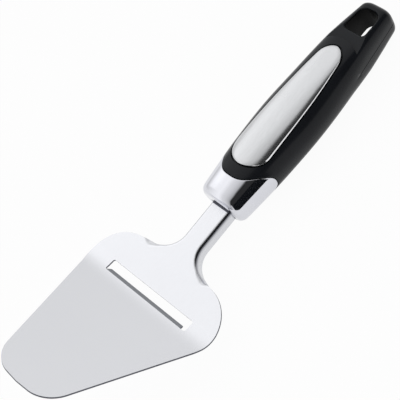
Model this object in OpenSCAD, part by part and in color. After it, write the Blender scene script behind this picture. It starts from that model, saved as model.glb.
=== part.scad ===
// Cheese slicer: stamped blade with a cutting slot, formed neck, chromed
// ferrule and a moulded handle with a metal inlay and a hang hole.
// Millimetres. X runs along the handle from the ferrule's mouth towards the
// hang hole, Y is the width, Z is up, and the handle's belly rests on Z = 0.

/* [Blade sheet] */
// Thickness of the stainless sheet
sheet_t = 1; // [0.8:0.1:1.4]
// Length of the flat front plate, from the tip to the bend
front_len = 65.9; // [60:0.1:70]
// Angle between the front plate and the neck
bend_angle = 32.1; // [15:0.1:35]
// Radius of the bend on the blade's upper face
bend_r = 23.6; // [15:0.1:30]
// Sheet length from the end of the bend to the ferrule's mouth
rear_len = 46.8; // [44:0.1:55]
// Width across the tip before its corners are rounded
tip_w = 35; // [28:0.5:40]
// How far the tip's edge bows forward at the middle
tip_bow = 1.1; // [0.2:0.1:2]
// Radius of the tip's corners
tip_r = 15.5; // [8:0.5:16]
// Width across the shoulders before they are rounded
shoulder_w = 92.4; // [84:0.2:96]
// Sheet length from the tip to the shoulder corners
shoulder_s = 89.3; // [86:0.1:92]
// Radius of the shoulder corners
shoulder_r = 19; // [14:0.5:20]
// Sheet length from the tip to where the shoulders meet the neck
root_s = 97.5; // [95:0.1:100]
// Radius between shoulder and neck
root_r = 11.5; // [8:0.5:12]

/* [Slot and cutting lip] */
// Sheet length from the tip to the slot's front edge
slot_s = 71.5; // [70:0.1:72]
// Width of the slot along the blade
slot_w = 6; // [5:0.1:7]
// Length of the slot across the blade
slot_len = 54.3; // [44:0.1:56]
// Radius in the slot's corners
slot_r = 1; // [0.5:0.1:2]
// Width of the cutting lip, shorter than the slot
lip_len = 50; // [40:0.5:51]
// How far the cutting lip reaches back into the slot
lip_reach = 1.6; // [1:0.1:1.8]
// How far the cutting lip is pressed down
lip_drop = 1.2; // [1:0.1:1.6]

/* [Neck and tang] */
// Width of the neck over its folded flanges
neck_w = 11.8; // [10:0.2:13]
// Depth of the folded flanges below the neck's top
flange_d = 7.2; // [5:0.1:7.6]
// Distance from the middle up to which the flanges keep their full depth
flange_full_y = 13; // [11:0.1:14]
// Distance from the middle at which the flanges have run out
flange_end_y = 17.5; // [16:0.1:18]
// How far the flanges run inside the ferrule
flange_in = 6; // [4:0.5:8]
// Length of the hidden tang behind the mouth
tang_len = 62; // [40:1:70]
// Diameter of the two keying holes in the tang
tang_hole_d = 4; // [3:0.5:5]

/* [Handle sections] */
// Distances of the handle's sections from the mouth
section_x = [0, 8, 30, 55, 80, 100, 120.4]; // [0:0.1:130]
// Half widths at the sections
section_half_w = [12, 12.9, 14.6, 15.5, 13.6, 11.1, 8.2]; // [6:0.1:18]
// Height of the sections above the handle's middle line
section_up = [10.8, 11.7, 12.9, 12.3, 11.4, 10.3, 8]; // [6:0.1:15]
// Depth of the sections below the handle's middle line
section_down = [10.2, 10.7, 10.8, 10.2, 11.1, 10.3, 8]; // [6:0.1:15]
// Droop of the handle's middle line at its rear end
droop = 2.4; // [0:0.1:3]
// Roundness of the sections at the front (2 is an ellipse)
round_front = 2.3; // [2:0.1:3]
// Squareness of the sections at the rear
round_rear = 3.7; // [2.5:0.1:4]
// Squareness of the flatter underside along the grip
round_belly = 2.8; // [2.5:0.1:3.2]
// Rounding of the handle's rear edge
end_r = 3.5; // [2:0.1:4]
// Rounding of the ferrule's front edge
nose_r = 3.5; // [2:0.1:4]

/* [Ferrule, grip and core] */
// Length of the ferrule on top and underneath
ferrule_min = 13.2; // [10:0.1:15]
// Length of the ferrule at its sides
ferrule_max = 25.4; // [20:0.1:28]
// Wall thickness of the ferrule and the grip
wall = 2.6; // [2:0.1:3]
// Thickness of the ferrule's front wall
front_wall = 2.4; // [2:0.1:3]
// Distance of the ferrule's front face behind the start of the handle
front_x = 0.8; // [0.5:0.1:1.5]
// Clearance between the neck and the ferrule's mouth
mouth_gap = 0.3; // [0.2:0.05:0.5]
// Visible joint between ferrule and grip
joint_gap = 0.2; // [0.1:0.05:0.4]
// Length of the cavity for the core
cavity_end = 95; // [90:0.5:97]
// Clearance round hidden pieces
fit_gap = 0.1; // [0.05:0.05:0.2]

/* [Inlay plate] */
// Start of the inlay behind the mouth
inlay_x = 19.6; // [18:0.1:22]
// Length of the inlay
inlay_len = 72.1; // [66:0.1:74]
// Width of the inlay near its front
inlay_w = 20.6; // [18:0.1:22]
// Amount by which the inlay narrows towards its rear
inlay_taper = 9.2; // [6:0.1:10]
// Thickness of the inlay plate
inlay_t = 0.9; // [0.6:0.1:1.2]
// How far the inlay stands above the grip
inlay_proud = 0.15; // [0:0.05:0.3]
// Thickness of the adhesive pad
pad_t = 0.3; // [0.2:0.1:0.4]

/* [Hang hole and tail facet] */
// Front edge of the hang hole
hole_x = 101.9; // [100:0.1:104]
// Length of the hang hole
hole_len = 14; // [10:0.1:14]
// Width of the hang hole
hole_w = 12.2; // [9:0.1:12.5]
// Height of the tail's flat top facet over the blade's upper face
facet_z = 7.3; // [7:0.1:7.6]
// Centre of the crown's rounded rear edge
crown_x = 80; // [78:0.5:82]
// Radius of the crown's rounded rear edge
crown_r = 16.2; // [15.5:0.1:16.5]

/* [Hidden] */

stainless = "#D9DBDE";
chromed = "#C9CCD4";
black_grip = "#232428";
core_grey = "#55585C";
resin_amber = "#C9B37A";
brushed = "#DEE0E2";
pad_white = "#ECECE6";

RING = 48;                                    // points round a handle section
handle_len = section_x[len(section_x) - 1];
bend_len = bend_r * bend_angle * PI / 180;    // sheet length of the bend
bend_end_s = front_len + bend_len;
tip_x = -(rear_len + bend_r * sin(bend_angle) + front_len * cos(bend_angle));
origin_x = (tip_x + handle_len) / 2;          // row origin under the middle
GRIP_RINGS = [34, 39, 44, 49, 54, 59, 64, 69, 74, 79, 84, 89, 94, 99, 104, 109, 113];
belly_z = max([for (x = GRIP_RINGS) down(x) - middle_z(x)]);   // it lies on its lowest ring

// ---- helpers ---------------------------------------------------------------

// Points of the arc that rounds the corner b of the path a, b, c with radius r
function corner(a, b, c, r, n = 12) =
    let (u = (a - b) / norm(a - b), v = (c - b) / norm(c - b),
         half = acos(u * v) / 2,
         centre = b + (u + v) / norm(u + v) * r / sin(half),
         p = b + u * r / tan(half) - centre,
         q = b + v * r / tan(half) - centre,
         start = atan2(p[1], p[0]),
         turn = (atan2(q[1], q[0]) - start + 540) % 360 - 180)
    [for (i = [0 : n]) centre + r * [cos(start + turn * i / n), sin(start + turn * i / n)]];

// The shift that moves both sides of the corner a, b, c outwards by t
function corner_shift(a, b, c, t) =
    let (u = (a - b) / norm(a - b), v = (c - b) / norm(c - b))
    -(u + v) / norm(u + v) * t / sin(acos(u * v) / 2);

// A closed outline from one half and its mirror image about the X axis
function mirrored(half) =
    concat(half, [for (i = [len(half) - 1 : -1 : 0]) if (half[i][1] > 0) [half[i][0], -half[i][1]]]);

// Value at x of the smooth curve through the points (xs[i], ys[i])
function slope(xs, ys, i) =
    i == 0 ? (ys[1] - ys[0]) / (xs[1] - xs[0])
    : i == len(xs) - 1 ? (ys[i] - ys[i - 1]) / (xs[i] - xs[i - 1])
    : (ys[i + 1] - ys[i - 1]) / (xs[i + 1] - xs[i - 1]);
function span(xs, x, i = 0) = (i >= len(xs) - 2 || x <= xs[i + 1]) ? i : span(xs, x, i + 1);
function smooth(xs, ys, x) =
    let (i = span(xs, x), w = xs[i + 1] - xs[i], t = (x - xs[i]) / w)
    (2 * t ^ 3 - 3 * t ^ 2 + 1) * ys[i] + (t ^ 3 - 2 * t ^ 2 + t) * w * slope(xs, ys, i)
    + (3 * t ^ 2 - 2 * t ^ 3) * ys[i + 1] + (t ^ 3 - t ^ 2) * w * slope(xs, ys, i + 1);

// Skin over rings with the same number of points. It is closed by its two end
// rings or, as a loop, by joining the last ring to the first.
module skin(rings, loop = false) {
    n = len(rings[0]);
    m = len(rings);
    polyhedron(
        points = [for (r = rings) each r],
        faces = concat(
            loop ? [] : [[for (i = [n - 1 : -1 : 0]) i], [for (i = [0 : n - 1]) (m - 1) * n + i]],
            [for (k = [0 : loop ? m - 1 : m - 2], i = [0 : n - 1], half = [0, 1])
                let (a = k * n + i, b = k * n + (i + 1) % n,
                     c = (k + 1) % m * n + i, d = (k + 1) % m * n + (i + 1) % n)
                half == 0 ? [a, b, d] : [a, d, c]]));
}

// ---- handle form -----------------------------------------------------------

function half_w(x) = smooth(section_x, section_half_w, x);
function up(x) = smooth(section_x, section_up, x);
function down(x) = smooth(section_x, section_down, x);
function middle_z(x) = -0.4 - droop * (x / handle_len) ^ 2 * 0.95;
function squareness(x) =
    round_front + (round_rear - round_front) * min(1, max(0, (x - 60) / 36)) ^ 2;
function squareness_below(x) =
    max(squareness(x), round_belly - 0.35 * max(0, 1 - x / section_x[2]));
function signed_pow(v, e) = sign(v) * abs(v) ^ e;

// One point of the handle's skin at distance x and angle a; grow moves it outwards
function skin_point(x, a, grow) =
    let (e = 2 / (sin(a) < 0 ? squareness_below(x) : squareness(x)))
    [x, (half_w(x) + grow) * signed_pow(cos(a), e),
     middle_z(x) + ((sin(a) < 0 ? down(x) : up(x)) + grow) * signed_pow(sin(a), e)];
function ring(x, grow = 0) = [for (i = [0 : RING - 1]) skin_point(x, 360 * i / RING, grow)];

// Height of the handle's upper skin at x, y
function top_z(x, y) =
    middle_z(x) + up(x) * max(0, 1 - abs(y / half_w(x)) ^ squareness(x)) ^ (1 / squareness(x));

// Wavy edge between ferrule and grip: long at the sides, short above and below
function wave_x(a) = ferrule_min + (ferrule_max - ferrule_min) * abs(cos(a)) ^ 2.5;
// Rings that move from the plain section at x0 to the wavy edge moved by shift
function wavy(x0, shift, grow, t) =
    [for (i = [0 : RING - 1])
        let (a = 360 * i / RING) skin_point(x0 + (wave_x(a) + shift - x0) * t, a, grow)];

module place() translate([-origin_x, 0, belly_z]) children();

// ---- blade -----------------------------------------------------------------

neck_half = neck_w / 2;
tang_half = neck_half - sheet_t - 0.2;
tip_corner = [tip_bow, tip_w / 2];
shoulder_corner = [shoulder_s, shoulder_w / 2];
root_corner = [root_s, neck_half];
mouth_s = bend_end_s + rear_len;

// Half outline of the flat sheet: s along the sheet from the tip, y across it
sheet_half = concat(
    [[0, 0]],
    corner([0, 0], tip_corner, shoulder_corner, tip_r),
    [let (t = (front_len - tip_corner[0]) / (shoulder_corner[0] - tip_corner[0]))
        tip_corner + t * (shoulder_corner - tip_corner)],
    corner(tip_corner, shoulder_corner, root_corner, shoulder_r),
    corner(shoulder_corner, root_corner, [mouth_s, neck_half], root_r),
    [[mouth_s + flange_in, neck_half], [mouth_s + flange_in, tang_half], [mouth_s + tang_len, tang_half]]);

// X of a point on the bent sheet's upper face, and the bend angle left at s
function bend_left(s) = min(bend_angle, max(0, (bend_end_s - s) / bend_r * 180 / PI));
function plan_x(s) =
    s >= bend_end_s ? s - mouth_s
    : -rear_len - bend_r * sin(bend_left(s)) + min(0, s - front_len) * cos(bend_angle);
function plan(half) = [for (p = half) [plan_x(p[0]), p[1]]];

JOIN = 1.5;                                   // overlap of the front and rear outlines
PAST = 2;                                     // how far cutters and slabs run past

// Frame of the front plate: its X is the sheet length s, its Z = 0 the upper face
module front_frame()
    translate([-rear_len, 0, bend_r]) rotate([0, bend_angle, 0])
        translate([-front_len, 0, -bend_r]) children();

// The bent sheet as a slab that is wider and longer than the blade
BEND_STEPS = 16;
module bent_slab() {
    function at(a, r) = [-rear_len - r * sin(a), bend_r - r * cos(a)];
    forward = (front_len + PAST) * [-cos(bend_angle), sin(bend_angle)];
    rotate([90, 0, 0])
        linear_extrude(shoulder_w + PAST, center = true)
            polygon(concat(
                [[tang_len + PAST, 0]],
                [for (i = [0 : BEND_STEPS]) at(bend_angle * i / BEND_STEPS, bend_r)],
                [at(bend_angle, bend_r) + forward, at(bend_angle, bend_r + sheet_t) + forward],
                [for (i = [BEND_STEPS : -1 : 0]) at(bend_angle * i / BEND_STEPS, bend_r + sheet_t)],
                [[tang_len + PAST, -sheet_t]]));
}

// Everything inside the outline: square to the front plate up to the bend, and
// upright behind it
module outline_prisms() {
    front_frame()
        translate([0, 0, -sheet_t - PAST])
            linear_extrude(sheet_t + 2 * PAST)
                intersection() {
                    polygon(mirrored(sheet_half));
                    translate([-tip_r, -shoulder_w]) square([tip_r + front_len + JOIN, 2 * shoulder_w]);
                }
    translate([0, 0, -flange_d - PAST])
        linear_extrude(flange_d + PAST + bend_r)
            intersection() {
                polygon(mirrored(plan(sheet_half)));
                translate([plan_x(front_len), -shoulder_w]) square([rear_len + bend_r + tang_len, 2 * shoulder_w]);
            }
}

// Block under the neck that holds the folded flanges, and the space inside them.
// The flanges follow the neck's outline and run out under the shoulders.
RUN_STEPS = 8;
module flange_block() {
    run = [for (i = [0 : RUN_STEPS])
        [flange_full_y + (flange_end_y - flange_full_y) * i / RUN_STEPS,
         -flange_d + (flange_d - sheet_t / 2) * (1 - cos(180 * i / RUN_STEPS)) / 2]];
    translate([plan_x(shoulder_s), 0, 0])
        rotate([90, 0, 90])
            linear_extrude(flange_in + PAST / 4 - plan_x(shoulder_s))
                polygon(concat(run, [for (i = [RUN_STEPS : -1 : 0]) [-run[i][0], run[i][1]]]));
}
module flange_space() {
    shift = corner_shift(shoulder_corner, root_corner, [mouth_s, neck_half], sheet_t);
    a = shoulder_corner + shift;
    b = root_corner + shift;
    translate([0, 0, -flange_d - PAST])
        linear_extrude(flange_d + PAST - sheet_t)
            polygon(mirrored(plan(concat(
                [[bend_end_s, a[1]], a],
                corner(a, b, [mouth_s, b[1]], root_r + sheet_t),
                [[mouth_s + flange_in + PAST, b[1]]]))));
}

slot_front = plan_x(slot_s);
slot_rear = plan_x(slot_s + slot_w);
slot_front_z = bend_r * (1 - cos(bend_left(slot_s)));
module slot()
    translate([0, 0, -bend_r])
        linear_extrude(2 * bend_r)
            polygon(mirrored(concat(
                corner([slot_front, 0], [slot_front, slot_len / 2], [slot_rear, slot_len / 2], slot_r, 6),
                corner([slot_front, slot_len / 2], [slot_rear, slot_len / 2], [slot_rear, 0], slot_r, 6))));

// Cutting lip: the slot's front edge pressed down and ground to an edge
lip_root = 0.6;                               // how far the lip starts inside the sheet
module cutting_lip()
    rotate([90, 0, 0])
        linear_extrude(lip_len, center = true)
            polygon([
                [slot_front - lip_root, slot_front_z - 0.2 * sheet_t],
                [slot_front, slot_front_z - 0.1 * sheet_t],
                [slot_front + lip_reach, slot_front_z - lip_drop],
                [slot_front + 0.8 * lip_reach, slot_front_z - lip_drop - 0.3 * sheet_t],
                [slot_front, slot_front_z - 0.85 * sheet_t],
                [slot_front - lip_root, slot_front_z - 0.6 * sheet_t]]);

module tang_holes()
    for (x = [tang_len - 14, tang_len - 34])
        translate([x, 0, -2 * sheet_t]) cylinder(h = 3 * sheet_t, d = tang_hole_d, $fn = 32);

module blade()
    color(stainless) {
        difference() {
            intersection() {
                union() {
                    bent_slab();
                    flange_block();
                }
                outline_prisms();
            }
            flange_space();
            slot();
            tang_holes();
        }
        cutting_lip();
    }

// ---- ferrule ---------------------------------------------------------------

NOSE_STEPS = 6;
function nose_ring(i) =
    let (a = 90 * i / NOSE_STEPS) ring(nose_r * (1 - sin(a)) + front_x, -nose_r * (1 - cos(a)) * 0.8);

// Rounded rectangle round the neck's channel section, as one ring at x
function mouth_ring(x) =
    [for (i = [0 : RING - 1])
        let (a = 360 * i / RING)
        [x, (neck_half + mouth_gap) * signed_pow(cos(a), 0.25),
         -flange_d / 2 + (flange_d / 2 + mouth_gap) * signed_pow(sin(a), 0.25)]];

module ferrule()
    color(chromed)
        skin(concat(
            [mouth_ring(front_x + front_wall), mouth_ring(front_x)],
            [for (i = [NOSE_STEPS : -1 : 0]) nose_ring(i)],
            [for (t = [0 : 0.2 : 1]) wavy(nose_r + 1.4, 0, 0, t)],
            [for (t = [1 : -0.5 : 0]) wavy(nose_r + 1.4, 0, -wall, t)],
            [ring(front_x + front_wall, -wall - 0.5)]), loop = true);

// ---- core and tang bond ----------------------------------------------------

core_x = front_x + front_wall + fit_gap;
socket_half = neck_half + 0.4;
socket_z = [-sheet_t - 1.6, 1.6];             // bottom and top of the tang's socket
BOND_GAP = 0.02;                              // hair gap between bond and neighbours

// The socket's space from x0 to its end, drawn in by gap
module socket(x0, gap)
    translate([x0, -socket_half + gap, socket_z[0] + gap])
        cube([tang_len + 1 - x0 - gap, 2 * (socket_half - gap), socket_z[1] - socket_z[0] - 2 * gap]);

module handle_core()
    color(core_grey)
        difference() {
            skin(concat(
                [ring(core_x, -wall - 0.5 - fit_gap)],
                [for (x = [nose_r + 1.4, 14, 26, 38, 50, 62, 74, 86, cavity_end - fit_gap])
                    ring(x, -wall - fit_gap)]));
            socket(core_x - 1, 0);
            translate([0, -neck_half - mouth_gap, -flange_d - mouth_gap])
                cube([flange_in + mouth_gap, neck_w + 2 * mouth_gap, flange_d + 2 * mouth_gap]);
        }

module tang_bond()
    color(resin_amber)
        difference() {
            socket(flange_in + mouth_gap + 0.05, BOND_GAP);
            translate([-1, -tang_half - BOND_GAP, -sheet_t - BOND_GAP])
                cube([tang_len + 1 + BOND_GAP, 2 * (tang_half + BOND_GAP), sheet_t + 2 * BOND_GAP]);
        }

// ---- grip ------------------------------------------------------------------

END_STEPS = 5;
function end_ring(i) =
    let (a = 90 * i / END_STEPS) ring(handle_len - end_r * (1 - sin(a)), -end_r * (1 - cos(a)));

// The inlay's crown: a torus that follows the grip's top, thickened by grow
crown_side_r = 22.7;
crown_long_r = 1100;
module crown(grow) {
    x0 = inlay_x + 2;
    x1 = inlay_x + inlay_len - 2;
    tilt = atan2(top_z(x0, 0) - top_z(x1, 0), x1 - x0);
    translate([(x0 + x1) / 2, 0, top_z((x0 + x1) / 2, 0) - crown_long_r])
        rotate([90, tilt, 0])
            rotate([0, 0, 86])
                rotate_extrude(angle = 8, $fn = 1800)
                    translate([crown_long_r - crown_side_r, 0])
                        intersection() {
                            circle(r = crown_side_r + grow, $fn = 120);
                            translate([0, -20]) square([40, 40]);
                        }
}

// Outline of the inlay: broad round front, sides that draw in, narrower round
// rear. Half width at the fraction u of its length.
function inlay_half(u) =
    (inlay_w / 2 - inlay_taper / 2 * u ^ 2.6)
    * (1 - max(0, 1 - u / 0.15) ^ 2.2) ^ 0.5
    * (1 - max(0, 1 - (1 - u) / 0.1) ^ 2.2) ^ 0.5;
module inlay_prism(margin) {
    n = 40;
    linear_extrude(40)
        polygon(mirrored([for (k = [0 : n])
            let (u = (1 - cos(180 * k / n)) / 2)
            [inlay_x + inlay_len * u + margin * (2 * u - 1), k % n == 0 ? 0 : inlay_half(u) + margin]]));
}

// A plate that follows the grip's top between the heights low and high. Its
// ends are cut square at the fraction trim of its half turn.
module inlay_form(margin, low, high, trim) {
    n = 26;
    skin([for (k = [0 : n])
        let (u = (1 - cos(180 * (trim + (1 - 2 * trim) * k / n))) / 2, y = inlay_half(u) + margin,
             x = inlay_x + inlay_len * u + margin * (2 * u - 1))
        concat(
            [for (i = [0 : 8]) [x, y * (1 - i / 4), top_z(x, y * (1 - i / 4)) + high]],
            [for (i = [8 : -1 : 0]) [x, y * (1 - i / 4), top_z(x, y * (1 - i / 4)) + low]])]);
}

module hang_hole()
    translate([0, 0, -30])
        linear_extrude(60)
            polygon(mirrored(concat(
                corner([hole_x, 0], [hole_x, hole_w / 2], [hole_x + hole_len, hole_w / 2 - 0.8], 2, 6),
                corner([hole_x, hole_w / 2], [hole_x + hole_len, hole_w / 2 - 0.8], [hole_x + hole_len, 0], 4.4, 8))));

// Flat top of the tail, stopping at the crown's round rear edge
module tail_facet()
    difference() {
        translate([crown_x, -20, facet_z]) cube([handle_len - crown_x + 5, 40, 10]);
        translate([crown_x, 0, facet_z - 1]) cylinder(h = 12, r = crown_r, $fn = 96);
    }

module grip_shell()
    color(black_grip)
        difference() {
            skin(concat(
                [for (x = [cavity_end, 80, 65, 50, 38]) ring(x, -wall)],
                [for (t = [0, 0.5, 1]) wavy(34, joint_gap, -wall, t)],
                [for (t = [1, 0.75, 0.5, 0.25]) wavy(34, joint_gap, 0, t)],
                [for (x = GRIP_RINGS) ring(x, 0)],
                [for (i = [END_STEPS : -1 : 0]) end_ring(END_STEPS - i)]));
            difference() {
                inlay_prism(0.15);
                crown(inlay_proud - inlay_t - pad_t);
            }
            hang_hole();
            tail_facet();
        }

module inlay_plate()
    color(brushed) inlay_form(0, inlay_proud - inlay_t, inlay_proud, 0.02);

module inlay_pad()
    color(pad_white) inlay_form(-1, inlay_proud - inlay_t - pad_t, inlay_proud - inlay_t - 0.02, 0.1);

place() blade();
place() ferrule();
place() handle_core();
place() tang_bond();
place() grip_shell();
place() inlay_plate();
place() inlay_pad();
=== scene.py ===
import math

import bmesh
import bpy
from mathutils import Matrix, Vector


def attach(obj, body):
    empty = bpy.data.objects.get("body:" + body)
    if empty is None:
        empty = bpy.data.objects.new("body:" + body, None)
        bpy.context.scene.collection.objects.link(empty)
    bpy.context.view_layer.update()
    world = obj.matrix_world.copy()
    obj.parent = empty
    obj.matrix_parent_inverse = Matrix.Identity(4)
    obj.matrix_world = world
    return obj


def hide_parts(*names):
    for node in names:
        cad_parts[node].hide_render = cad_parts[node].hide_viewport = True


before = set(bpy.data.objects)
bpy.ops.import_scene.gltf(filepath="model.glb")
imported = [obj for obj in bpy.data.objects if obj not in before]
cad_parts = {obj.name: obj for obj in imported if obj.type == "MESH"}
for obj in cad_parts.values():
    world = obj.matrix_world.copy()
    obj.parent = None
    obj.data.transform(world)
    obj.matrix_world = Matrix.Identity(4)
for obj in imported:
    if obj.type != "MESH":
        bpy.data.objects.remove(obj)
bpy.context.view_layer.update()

# ---- the slicer's form -------------------------------------------------------
# Millimetres. X runs along the handle from the ferrule's mouth, Y is the width
# and Z = 0 is the neck's upper face, as in the part's source. On the flat sheet,
# s is the length from the tip.

# Sheet: its gauge, and its two straight stretches with the bend between them
SHEET = 1.0
FRONT_LEN, BEND_ANGLE, BEND_R, REAR_LEN = 65.9, math.radians(32.1), 23.6, 46.8
BEND_END = FRONT_LEN + BEND_R * BEND_ANGLE
MOUTH_S = BEND_END + REAR_LEN
# Corners of its flat outline: the place, the width there and the radius
TIP_BOW, TIP_W, TIP_R = 1.1, 35.0, 15.5
SHOULDER_S, SHOULDER_W, SHOULDER_R = 89.3, 92.37, 19.0
ROOT_S, ROOT_R, NECK_HALF = 97.5, 11.5, 5.9
# Folded edge: its depth, its reach into the ferrule, and the half widths
# between which it comes to its full depth under the shoulders
FLANGE_D, FLANGE_IN, FLANGE_END_Y, FLANGE_FULL_Y = 7.2, 6.0, 23.5, 10.5
# Fold radius along the neck, how much tighter it is round the neck's root and
# how much wider where it fades out, and the half widths over which they change
FOLD_R, FOLD_TIGHTER, FOLD_WIDER = 1.9, 0.3, 2.4
ROOT_RUN, FADE_START_Y, FADE_FULL_Y = 5, 12, 19
# Slot, and the lip along its front edge, pressed down and ground thin
SLOT_S, SLOT_W, SLOT_LEN, SLOT_R = 71.5, 6.0, 54.3, 1.0
LIP_REACH, LIP_DROP, LIP_Y, LIP_THIN = 1.6, 1.2, (-24.4, 0, 24.6), 0.55

# Sections of the handle: their places, half widths and heights
SECTION_X = [0, 8, 30, 55, 80, 100, 120.4]
SECTION_HALF_W = [12, 12.9, 14.6, 15.5, 13.6, 11.1, 8.2]
SECTION_UP = [10.8, 11.7, 12.9, 12.3, 11.4, 10.3, 8]
SECTION_DOWN = [10.2, 10.7, 10.8, 10.2, 11.1, 10.3, 8]
HANDLE_LEN, MIDDLE_DROP, DROOP, DROOP_SHARE = 120.4, 0.4, 2.4, 0.95
END_R, NOSE_R, WALL = 3.5, 3.5, 2.6
# Roundness of the sections: 2 is an ellipse, more is squarer
ROUND_FRONT, ROUND_GAIN, SQUARE_FROM, SQUARE_AT = 2.3, 1.4, 60, 96
BELLY_ROUND, BELLY_EASE, BELLY_RUN = 2.8, 0.35, 30
# Ferrule: its front face, the wave of its rear edge, and the step behind its nose
FRONT_X, FRONT_WALL, FERRULE_MIN, FERRULE_MAX = 0.8, 2.4, 13.2, 25.4
SLEEVE_X = NOSE_R + 1.4
# Grip: where the wave has faded out, and the parting groove of its mould
PLAIN_X, RING_GAP, GRIP_RINGS = 34, 1.5, [*range(34, 110, 5), 113]
PARTING, PARTING_FROM, PARTING_AT = 0.22, 86, 89
# Inlay: its outline, its crown's edge, and the groove round it
INLAY_X, INLAY_LEN, INLAY_W, INLAY_TAPER = 19.6, 72.1, 20.6, 9.2
INLAY_T, INLAY_PROUD, GROOVE, GROOVE_DEEPER = 0.9, 0.15, 0.4, 0.35
INLAY_INSET, EDGE_UP, ROLL, ROLL_W = 0.45, 0.35, 0.23, 2.5
# Tail: the hang hole, and the flat facet round it behind the crown
HOLE_X, HOLE_LEN, HOLE_W, HOLE_TAPER = 101.9, 14.0, 12.2, 0.8
FACET_Z, CROWN_X, CROWN_R = 7.3, 80.0, 16.2


def share(value, start, full):
    """How far a value has come from start to full, from 0 to 1."""
    return min(1, max(0, (value - start) / (full - start)))


def curve(values, x):
    """Smooth curve through the values at the handle's sections."""
    xs, last = SECTION_X, len(SECTION_X) - 1
    i = 0
    while i < last - 1 and x > xs[i + 1]:
        i += 1

    def slope(k):
        a, b = max(0, k - 1), min(last, k + 1)
        return (values[b] - values[a]) / (xs[b] - xs[a])

    w = xs[i + 1] - xs[i]
    t = (x - xs[i]) / w
    return ((2 * t ** 3 - 3 * t ** 2 + 1) * values[i] + (t ** 3 - 2 * t ** 2 + t) * w * slope(i)
            + (3 * t ** 2 - 2 * t ** 3) * values[i + 1] + (t ** 3 - t ** 2) * w * slope(i + 1))


def middle_z(x):
    """Height of the sections' middle, which droops towards the tail."""
    return -MIDDLE_DROP - DROOP * (x / HANDLE_LEN) ** 2 * DROOP_SHARE


def squareness(x):
    """Exponent of the section's upper half, round in front and square behind."""
    return ROUND_FRONT + ROUND_GAIN * share(x, SQUARE_FROM, SQUARE_AT) ** 2


def squareness_below(x):
    """The same for the lower half, which is flatter under the belly."""
    return max(squareness(x), BELLY_ROUND - BELLY_EASE * max(0, 1 - x / BELLY_RUN))


def signed_pow(v, e):
    """A power that keeps the sign."""
    return math.copysign(abs(v) ** e, v)


def skin_point(x, angle, grow=0.0):
    """Point of the handle's skin at the distance x and the angle round it."""
    c, s = math.cos(angle), math.sin(angle)
    e = 2 / (squareness_below(x) if s < 0 else squareness(x))
    depth = curve(SECTION_DOWN if s < 0 else SECTION_UP, x)
    return Vector((x, (curve(SECTION_HALF_W, x) + grow) * signed_pow(c, e),
                   middle_z(x) + (depth + grow) * signed_pow(s, e)))


def top_z(x, y):
    """Height of the handle's upper skin over a point of the plan."""
    q = squareness(x)
    across = max(0, 1 - abs(y / curve(SECTION_HALF_W, x)) ** q)
    return middle_z(x) + curve(SECTION_UP, x) * across ** (1 / q)


def bend_left(s):
    """Angle that the sheet still has to turn behind the length s."""
    return min(BEND_ANGLE, max(0.0, (BEND_END - s) / BEND_R))


def plan_x(s):
    """Place along the handle of the bent sheet's upper face at the length s."""
    if s >= BEND_END:
        return s - MOUTH_S
    straight = min(0, s - FRONT_LEN) * math.cos(BEND_ANGLE)
    return -REAR_LEN - BEND_R * math.sin(bend_left(s)) + straight


def bent(s, y, drop=0.0):
    """Point of the bent sheet at the length s, drop below its upper face."""
    a = bend_left(s)
    rise = BEND_R * (1 - math.cos(a)) - min(0, s - FRONT_LEN) * math.sin(BEND_ANGLE)
    return Vector((plan_x(s) - drop * math.sin(a), y, rise - drop * math.cos(a)))


ORIGIN_X = (plan_x(0) + HANDLE_LEN) / 2
BELLY_Z = max(curve(SECTION_DOWN, x) - middle_z(x) for x in GRIP_RINGS)


def in_frame(p, lowest=0.0):
    """A point of the form in the shared frame, in metres. A piece never goes
    below the plane that the slicer lies on."""
    return Vector(((p[0] - ORIGIN_X) / 1000, p[1] / 1000, max(lowest, p[2] + BELLY_Z) / 1000))


def in_form(p):
    """A point of the frame as the form's x, half width and z."""
    return p.x * 1000 + ORIGIN_X, abs(p.y) * 1000, p.z * 1000 - BELLY_Z


def rounded(a, b, c, r, n=24):
    """Points of the arc that rounds the corner b of the path a, b, c."""
    a, b, c = Vector(a), Vector(b), Vector(c)
    u, v = (a - b).normalized(), (c - b).normalized()
    half = math.acos(u.dot(v)) / 2
    centre = b + (u + v).normalized() * r / math.sin(half)
    p, q = b + u * r / math.tan(half) - centre, b + v * r / math.tan(half) - centre
    start = math.atan2(p.y, p.x)
    turn = (math.atan2(q.y, q.x) - start + 3 * math.pi) % (2 * math.pi) - math.pi
    return [centre + r * Vector((math.cos(start + turn * i / n), math.sin(start + turn * i / n)))
            for i in range(n + 1)]


def mirrored(half):
    """Closed outline from the half with y >= 0."""
    return ([Vector(p) for p in half]
            + [Vector((p[0], -p[1])) for p in reversed(half) if p[1] > 1e-9])


def outwards(loop):
    """Unit normals of a closed plane outline, pointing out of it."""
    n = len(loop)
    area = sum(loop[i].x * loop[(i + 1) % n].y - loop[(i + 1) % n].x * loop[i].y
               for i in range(n))
    side = 1 if area > 0 else -1
    found = []
    for i in range(n):
        a, b = (loop[i] - loop[i - 1]).normalized(), (loop[(i + 1) % n] - loop[i]).normalized()
        t = (a + b).normalized()
        found.append(Vector((t.y, -t.x)) * side)
    return found


def grown(loop, grow):
    """A closed outline moved outwards."""
    return [p + m * grow for p, m in zip(loop, outwards(loop))]


# ---- mesh work ---------------------------------------------------------------

MERGE = 2e-7


def object_from(bm, name):
    """Makes a bmesh an object of the scene."""
    mesh = bpy.data.meshes.new(name)
    bm.to_mesh(mesh)
    bm.free()
    obj = bpy.data.objects.new(name, mesh)
    bpy.context.scene.collection.objects.link(obj)
    return obj


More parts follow.
